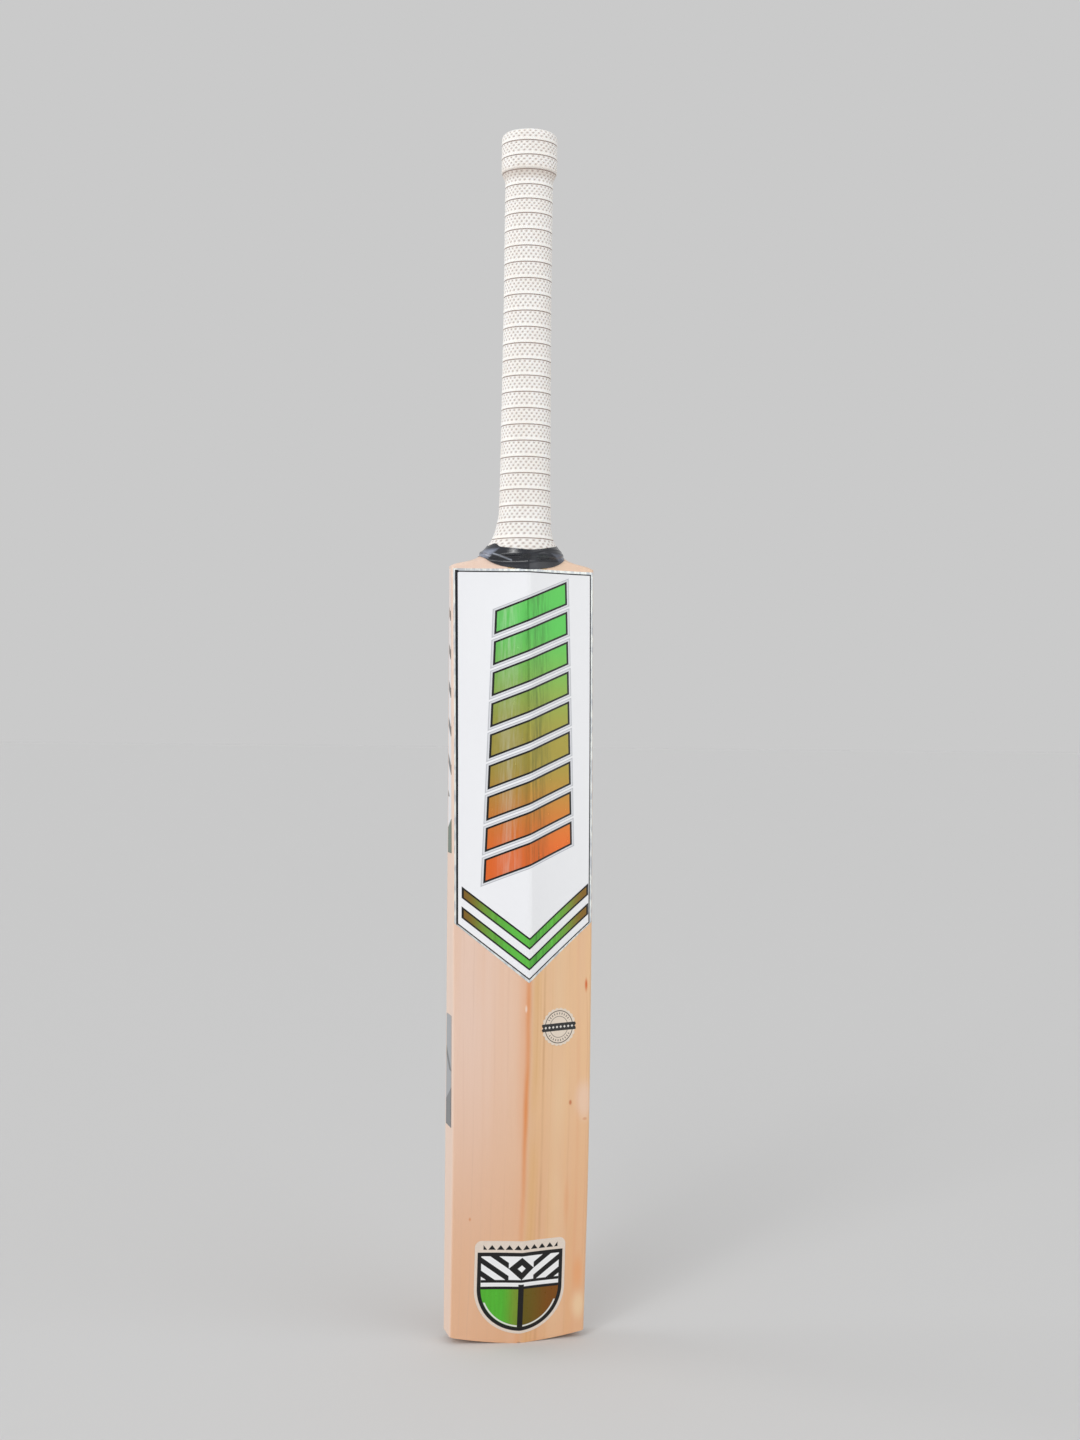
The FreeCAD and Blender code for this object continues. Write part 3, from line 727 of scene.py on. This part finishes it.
def main_label_material():
    """White foil label: a silver rim, a fine black border, two chevrons and a stack of slanted bars."""
    graph = Graph("main_label", 0.26, Specular_IOR_Level=0.32, Coat_Weight=0.12, Coat_Roughness=0.12)
    x, z, away = graph.x, graph.z, graph.x.size()
    foot = away * ((LABEL_SIDE_Z - label_low.z) / LABEL_HALF) + label_low.z
    to_side = blade_half(z) - away - (SHOULDER_WIDTH / 2 - LABEL_HALF)
    edge = to_side.least(z * -1 + label_high.z).least((z - foot) * 0.8)
    streaks = foil_streaks(graph)
    cloud = graph.noise((30, 30, 60), 2, 0.5)
    half_line = mixed(BORDER_WIDTH_LEFT, BORDER_WIDTH, x.ramp(-LABEL_HALF + 3, -LABEL_HALF + 4)) * 0.5
    rim = ((edge - BORDER_IN) * -1).inside()
    line = (half_line - (edge - BORDER_IN - BORDER_WIDTH / 2).size()).inside()
    # Painted shade: the white is a little darker right of the ridge, where the right facet is less lit.
    shade = graph.mix(x.ramp(-1.5, 1.5), colour(243, 244, 247), colour(240, 241, 243))
    shade = graph.mix(cloud * 0.2, shade, colour(228, 229, 235))
    foil_shine = graph.noise((2, 2, 7), 2, 0.6, 2.0).ramp(0.35, 0.65)
    silver = graph.mix(foil_shine, colour(196, 202, 208), colour(240, 244, 240))
    black = colour(14, 15, 14)
    layers = [(rim, silver), (line, colour(16, 17, 22))]
    metal = rim * 0.35
    for ridge_z, rise in CHEVRONS:
        off = (z - (away * rise + ridge_z)).size()
        band = (off * -1 + CHEVRON_HALF_HEIGHT).least((x - CHEVRON_SHIFT).size() * -1 + CHEVRON_REACH)
        foil = graph.mix(away.ramp(16.0, 44.0), colour(104, 204, 78), colour(138, 104, 44))
        # Painted reflection: the chevrons' foil is darker in streaked bands near the middle and about 20 mm
        # out.
        foil = graph.mix(streaks * x.near(6.0, 12.0) * 0.6, foil, colour(46, 92, 48))
        foil = graph.mix(away.near(20.0, 14.0) * streaks * 0.5, foil, colour(94, 128, 44))
        layers += [(band.inside(), black), ((band - OUTLINE).inside(), foil)]
        metal = metal.most((band - OUTLINE).inside() * 0.45)
    pitch = (BAR_TOP - BAR_BOTTOM) / BAR_COUNT
    slanted = z - x * BAR_SLANT - BAR_BOTTOM
    within = slanted.wrap(pitch) - pitch / 2
    taper = (z - BAR_BOTTOM) * (BAR_TAPER / (BAR_TOP - BAR_BOTTOM))
    reach = (x - BAR_LEFT - taper).least(x * -1 + BAR_RIGHT - taper * 0.5)
    reach = reach.least(slanted - BAR_INSET).least(slanted * -1 + (BAR_TOP - BAR_BOTTOM - BAR_INSET))
    bar = (within.size() * -1 + pitch * BAR_SHARE).least(reach)
    hue = ((z - BAR_BOTTOM) / (BAR_TOP - BAR_BOTTOM)).clipped()
    foil = graph.mix(hue.ramp(0.0, 0.42), colour(238, 112, 48), colour(164, 150, 66))
    foil = graph.mix(hue.ramp(0.42, 0.9), foil, colour(92, 192, 88))
    # Painted reflection: the bars' foil is darker in streaked bands near x = 6 and paler in ones near x =
    # -14.
    painted_reflection = streaks * x.near(6.0, 16.0)
    foil = graph.mix(painted_reflection * 0.5, foil, colour(60, 84, 50))
    foil = graph.mix(streaks * x.near(-14.0, 12.0) * 0.25, foil, colour(236, 240, 226))
    layers += [
        ((bar + HALO + HALO_LINE).inside(0.6), colour(176, 178, 184)),
        ((bar + HALO).inside(0.6), colour(222, 224, 228)),
        ((bar + OUTLINE).inside(), black),
        (bar.inside(), foil),
    ]
    metal = metal.most(bar.inside() * 0.45)
    base = graph.paint(shade, layers)
    wrinkle = graph.noise((3, 3, 5), 2, 0.5, 8.0)
    return graph.finish(base, wrinkle * 0.1 + 0.2, wrinkle, 0.03, metal)


# ---- the toe label's print ----
SHIELD_HALF = (shield_high.x - shield_low.x) / 2
SHIELD_MARGIN = 2.0                 # plain paper outside the black frame, at the sides and below
SHIELD_HEAD = 8.4                   # ... and above it
SHIELD_FRAME = 2.7
SHIELD_TOOTH = 6.0                  # the width of each tooth in the row above the frame
SHIELD_SPLIT_Z = 43.0               # between the striped panel and the two coloured ones
SHIELD_SPLIT_HALF = 3.4             # half the black belt there
SHIELD_BELT_LINE = 2.0              # ... and its black edges
SHIELD_BAR_HALF = 2.0
SHIELD_STRIPE_PITCH = 9.5
SHIELD_STRIPE_HALF = 2.2
SHIELD_STRIPE_LEAN = 0.7
SHIELD_STRIPE_SHIFT = 2.0
SHIELD_STRIPE_START = 9.0           # the stripes keep this far from the middle
SHIELD_DIAMOND_Z = 54.5
SHIELD_DIAMOND_HALF = 8.2
SHIELD_DIAMOND_RING = 5.6
SHIELD_SWEEP_IN = 0.7               # the pale line just inside the frame, from this far below the belt
SHIELD_SWEEP_HALF = 0.55
SHIELD_SWEEP_DROP = 13.0
SHIELD_TEETH_RISE = 2.0             # from the frame to the row of teeth
SHIELD_TEETH_HEIGHT = 3.4
SHIELD_TEETH_COUNT = 9


def shield_material():
    """The toe label: beige paper, a black frame, stripes above and a green and a brown panel below."""
    graph = Graph("toe_label", 0.3, Specular_IOR_Level=0.32, Coat_Weight=0.12, Coat_Roughness=0.12)
    x, z = graph.x, graph.z
    away = x.size()
    centre_z = shield_low.z + SHIELD_HALF
    below = (z * -1 + centre_z).most(0.0)
    round_edge = (away * away + below * below).power(0.5) * -1 + SHIELD_HALF
    frame_edge = (round_edge - SHIELD_MARGIN).least(z * -1 + (shield_high.z - SHIELD_HEAD))
    inner = frame_edge - SHIELD_FRAME
    weave = graph.noise((1.2, 1.2, 1.2), 3, 0.6)
    paper = graph.mix(weave, colour(216, 200, 186), colour(232, 220, 208))
    streaks = foil_streaks(graph)
    green = graph.mix(x.ramp(-14.0, -2.0), colour(84, 186, 50), colour(122, 150, 44))
    brown = graph.mix(x.ramp(3.0, 24.0), colour(106, 90, 14), colour(126, 74, 6))
    lower = graph.mix(x.ramp(-0.5, 0.5), green, brown)
    lower = graph.mix(streaks * 0.12, lower, colour(60, 64, 20))
    black, white = colour(16, 16, 17), colour(238, 239, 240)
    slanted = (z - away * SHIELD_STRIPE_LEAN + SHIELD_STRIPE_SHIFT).wrap(SHIELD_STRIPE_PITCH)
    slanted = slanted - SHIELD_STRIPE_PITCH / 2
    fan = ((slanted.size() * -1 + SHIELD_STRIPE_HALF).least(away - SHIELD_STRIPE_START)).inside()
    upper = graph.mix(fan, white, black)
    diamond = (away * 0.9 + (z - SHIELD_DIAMOND_Z).size()) * -1 + SHIELD_DIAMOND_HALF
    upper = graph.mix(diamond.inside(), upper, black)
    upper = graph.mix((diamond - SHIELD_DIAMOND_RING).inside(), upper, white)
    panel = graph.mix((z - SHIELD_SPLIT_Z).inside(), lower, upper)
    belt = (z - SHIELD_SPLIT_Z).size() * -1 + SHIELD_SPLIT_HALF
    centre = (away * -1 + SHIELD_BAR_HALF).least(z * -1 + SHIELD_SPLIT_Z)
    sweep = (round_edge - SHIELD_MARGIN - SHIELD_FRAME - SHIELD_SWEEP_IN).size() * -1 + SHIELD_SWEEP_HALF
    sweep = sweep.least(z * -1 + (SHIELD_SPLIT_Z - SHIELD_SWEEP_DROP))
    height = z - (shield_high.z - SHIELD_HEAD + SHIELD_TEETH_RISE)
    teeth = (x.wrap(SHIELD_TOOTH) - SHIELD_TOOTH / 2).size() * -1.3 + SHIELD_TEETH_HEIGHT - height
    teeth = teeth.least(height).least(away * -1 + SHIELD_TOOTH * SHIELD_TEETH_COUNT / 2)
    base = graph.paint(
        paper,
        [
            (teeth.inside(), black),
            (frame_edge.inside(), black),
            (inner.inside(), panel),
            (sweep.least(inner).inside(), colour(226, 228, 222)),
            (belt.least(inner).inside(), black),
            ((belt - SHIELD_BELT_LINE).least(inner).inside(), white),
            (centre.least(inner).inside(), black),
        ],
    )
    foil = inner.least(z * -1 + SHIELD_SPLIT_Z).inside() * 0.12
    return graph.finish(base, weave * 0.1 + 0.24, weave, 0.03, foil)


# ---- the round seal ----
SEAL_CENTRE = (seal_low + seal_high) / 2
SEAL_RADIUS = (seal_high.z - seal_low.z) / 2
SEAL_SCALLOPS = 24
SEAL_SCALLOP_DEPTH = 0.9
SEAL_COLUMNS = 192
SEAL_RINGS = (0.25, 0.5, 0.75, 0.9, 0.97, 1.0)
SEAL_THICKNESS = 0.28
SEAL_OUTER_RING = (0.84, 0.3)       # radius as a share of the seal's, half width
SEAL_INNER_RING = (0.55, 0.24)
SEAL_TICKS = 30                     # short marks between the two rings
SEAL_TICK_PLACE = 0.7
SEAL_TICK_HALF = 0.75
SEAL_TICK_CLEAR = 0.34              # no ticks beside the banner, up to this share of the radius
SEAL_BANNER_HALF = 2.7
SEAL_BANNER_TILT = 0.015
SEAL_STUD_PITCH = 3.0
SEAL_STUD_HALF = 0.95


def seal_point(share, column):
    """The place across and up of one point of the scalloped disc, at a share of its radius."""
    angle = 2 * math.pi * column / SEAL_COLUMNS
    scallop = abs(math.sin(angle * SEAL_SCALLOPS / 2))
    reach = (SEAL_RADIUS - SEAL_SCALLOP_DEPTH * (1 - scallop) * share) * share
    return SEAL_CENTRE.x + reach * math.cos(angle), SEAL_CENTRE.z + reach * math.sin(angle)


def make_seal(material):
    """A scalloped paper disc that lies on the right facet."""
    surface = node_surface("seal_label")
    points = [(SEAL_CENTRE.x, surface(SEAL_CENTRE.x, SEAL_CENTRE.z), SEAL_CENTRE.z)]
    for share, sunk in [(share, 0.0) for share in SEAL_RINGS] + [(1.0, SEAL_THICKNESS)]:
        for column in range(SEAL_COLUMNS):
            x, z = seal_point(share, column)
            points.append((x, surface(x, z) + sunk, z))
    faces = [(0, 1 + column, 1 + (column + 1) % SEAL_COLUMNS) for column in range(SEAL_COLUMNS)]
    for quad in tube_faces(len(SEAL_RINGS) + 1, SEAL_COLUMNS):
        faces.append(tuple(1 + corner for corner in reversed(quad)))
    piece = make_piece("seal_disc", points, faces, material)
    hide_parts("seal_label")


def ring_at(reach, share, half_width):
    """1 on a printed ring at a share of the seal's radius."""
    return ((reach - SEAL_RADIUS * share).size() * -1 + half_width).inside()


def seal_material():
    """The round seal: beige paper with dark rings, ticks and a tilted banner with pale studs."""
    graph = Graph("seal_label", 0.4, Coat_Weight=0.3)
    x = graph.x - SEAL_CENTRE.x
    z = graph.z - SEAL_CENTRE.z
    reach = (x * x * 1.08 + z * z).power(0.5)
    turn = z.math("ARCTAN2", x)
    paper = graph.noise((1.0, 1.0, 1.0), 3, 0.6)
    base = graph.mix(paper, colour(222, 206, 188), colour(236, 222, 206))
    ticks = (turn * SEAL_TICKS).sine().ramp(0.1, 0.5)
    ticks = ticks * ring_at(reach, SEAL_TICK_PLACE, SEAL_TICK_HALF)
    ticks = ticks * (z.size() - SEAL_RADIUS * SEAL_TICK_CLEAR).inside(1.0)
    tilted = z - x * SEAL_BANNER_TILT
    banner = (tilted.size() * -1 + SEAL_BANNER_HALF).inside()
    studs = (x.wrap(SEAL_STUD_PITCH) - SEAL_STUD_PITCH / 2).size() + tilted.size()
    studs = studs * -1 + SEAL_STUD_HALF
    base = graph.paint(
        base,
        [
            (ticks * 0.8, colour(84, 74, 66)),
            (ring_at(reach, *SEAL_OUTER_RING), colour(70, 60, 52)),
            (ring_at(reach, *SEAL_INNER_RING) * 0.8, colour(84, 74, 66)),
            (banner, colour(26, 25, 25)),
            (studs.inside(0.4), colour(226, 222, 216)),
        ],
    )
    return graph.finish(base, paper * 0.1 + 0.35, paper, 0.03)


# ---- the labels on the side edges ----
EDGE_MARK_PITCH = 26.0
EDGE_MARK_HALF = 3.4
EDGE_MARK_LEAN = 0.9
EDGE_PLAIN_LOW = 40.0               # no marks this near to the label's lower and upper end
EDGE_PLAIN_HIGH = 22.0
EDGE_FOOT = 26.0                    # height and slant of the coloured lower end
EDGE_FOOT_SLANT = 0.6
EDGE_MARK = colour(62, 66, 66)
# The ground and the lower end of each label.
EDGE_PRINTS = {
    "upper": (colour(236, 236, 238), colour(44, 84, 52)),
    "lower": (colour(140, 144, 150), colour(70, 74, 78)),
}


def edge_label_material(side, level):
    """A strip label on the blade's edge, with slanted marks and a slanted lower end in another colour."""
    low_z, high_z = (corner.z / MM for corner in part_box(f"edge_label_{side}_{level}"))
    ground, foot = EDGE_PRINTS[level]
    graph = Graph(f"edge_{side}_{level}", 0.3, Coat_Weight=0.4, Coat_Roughness=0.12)
    y, z = graph.y, graph.z
    grain = graph.noise((2, 2, 8), 2, 0.5)
    slanted = z - y * EDGE_MARK_LEAN
    base = graph.mix(grain * 0.15, ground, colour(210, 212, 214))
    marks = (slanted.wrap(EDGE_MARK_PITCH) - EDGE_MARK_PITCH / 2).size() * -1 + EDGE_MARK_HALF
    span = (z - (low_z + EDGE_PLAIN_LOW)).least(z * -1 + (high_z - EDGE_PLAIN_HIGH))
    end = (y * -EDGE_FOOT_SLANT + (low_z + EDGE_FOOT) - z).inside()
    base = graph.paint(base, [(marks.least(span).inside(), EDGE_MARK), (end, foot)])
    return graph.finish(base, grain * 0.1 + 0.25, grain, 0.02)


# ---- build ----
def assign(material, *names):
    """Gives CAD nodes a material of this file in place of their own."""
    for name in names:
        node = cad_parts[name]
        node.data.materials.clear()
        node.data.materials.append(material)


TWINE_PITCH = 0.9
WHIPPING_PITCH = 1.3
# Each pair runs from the painted shade between the turns to the thread's own colour on their tops.
TWINE_COLOURS = (colour(120, 96, 60), colour(196, 170, 124))
WHIPPING_COLOURS = (colour(150, 140, 122), colour(214, 206, 190))
CANE_NODES = [f"cane_{slab}_{slip}" for slab in ("back", "middle", "front") for slip in range(1, 5)]

assign(willow_material(), "blade")
assign(cane_material(), *CANE_NODES)
assign(spring_material(), "spring_back", "spring_front")
assign(thread_material("twine", *TWINE_COLOURS, TWINE_PITCH), "twine_binding")
assign(thread_material("whipping", *WHIPPING_COLOURS, WHIPPING_PITCH), "collar_whipping")
assign(main_label_material(), "back_label")
assign(shield_material(), "toe_label")
make_seal(seal_material())
for side in ("left", "right"):
    for level in ("upper", "lower"):
        assign(edge_label_material(side, level), f"edge_label_{side}_{level}")
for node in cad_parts.values():
    smooth(node.data, NODE_SMOOTH_ANGLE)
make_grip(grip_material())
make_tape(tape_material())


# ---- stage ----
CAMERA_PLACE = (-328.3, -1393.7, 443.5)
CAMERA_YAW = 13.71                  # degrees to the right of straight at the back
CAMERA_ROLL = 0.76
CAMERA_LENS = 50.0
CAMERA_SENSOR = 36.0
CAMERA_CLIP = (0.01, 1000.0)        # metres
FLOOR_SIZE = 60000.0
FLOOR_COLOURS = (colour(215, 215, 215), colour(205, 205, 205))
BACKGROUND = colour(202, 202, 202)
# Soft distant lights: degrees round and up from the camera's heading, strength, softness in degrees.
SUNS = {
    "key": (24, 30, 0.83, 30),
    "fill": (-54, 20, 0.66, 60),
    "side": (100, 12, 0.9, 40),
}
SOFTBOX_PLACE = (-950.0, -1150.0, 1350.0)
SOFTBOX_SIZE = 120.0
SOFTBOX_POWER = 1.6


def make_camera():
    data = bpy.data.cameras.new("camera")
    data.lens = CAMERA_LENS
    data.sensor_width = CAMERA_SENSOR
    data.clip_start, data.clip_end = CAMERA_CLIP
    camera = add_object("camera", data)
    camera.location = Vector(CAMERA_PLACE) * MM
    camera.rotation_mode = "XYZ"
    yaw = math.radians(CAMERA_YAW)
    heading = Vector((math.sin(yaw), math.cos(yaw), 0.0))
    turned = heading.to_track_quat("-Z", "Y").to_matrix().to_4x4()
    camera.rotation_euler = (turned @ Matrix.Rotation(math.radians(CAMERA_ROLL), 4, "Z")).to_euler()
    bpy.context.scene.camera = camera


def make_floor():
    graph = Graph("floor", 0.9, Specular_IOR_Level=0.1)
    speckle = graph.noise((400, 400, 400), 2, 0.5)
    material = graph.finish(graph.mix(speckle * 0.02, *FLOOR_COLOURS))
    half = FLOOR_SIZE / 2 * MM
    corners = [(-half, -half, 0), (half, -half, 0), (half, half, 0), (-half, half, 0)]
    mesh = bpy.data.meshes.new("floor")
    mesh.from_pydata(corners, [], [(0, 1, 2, 3)])
    mesh.materials.append(material)
    floor = add_object("floor", mesh)


def make_sun(name, azimuth, elevation, strength, softness):
    """A soft distant light. At azimuth 0 it shines from behind the camera, above 0 from its left."""
    data = bpy.data.lights.new(name, "SUN")
    data.energy = strength
    data.angle = math.radians(softness)
    sun = add_object(name, data)
    turn = math.radians(azimuth + CAMERA_YAW)
    rise = math.radians(elevation)
    level = math.cos(rise)
    heading = Vector((math.sin(turn) * level, math.cos(turn) * level, -math.sin(rise)))
    sun.rotation_mode = "QUATERNION"
    sun.rotation_quaternion = heading.to_track_quat("-Z", "Y")


def make_softbox():
    """A square light that looks at the tape, for the streaks of gloss on it."""
    data = bpy.data.lights.new("softbox", "AREA")
    data.shape = "SQUARE"
    data.size = SOFTBOX_SIZE * MM
    data.energy = SOFTBOX_POWER
    softbox = add_object("softbox", data)
    softbox.location = Vector(SOFTBOX_PLACE) * MM
    softbox.rotation_mode = "QUATERNION"
    target = Vector((0.0, 0.0, TAPE_LOW_MIDDLE))
    softbox.rotation_quaternion = (target - Vector(SOFTBOX_PLACE)).to_track_quat("-Z", "Y")


def make_world():
    world = bpy.data.worlds.new("studio")
    world.use_nodes = True
    background = world.node_tree.nodes["Background"]
    background.inputs["Color"].default_value = BACKGROUND
    background.inputs["Strength"].default_value = 1.0
    bpy.context.scene.world = world


make_floor()
make_world()
for sun_name, sun in SUNS.items():
    make_sun(sun_name, *sun)
make_softbox()
make_camera()
bpy.context.scene.view_settings.view_transform = "Standard"
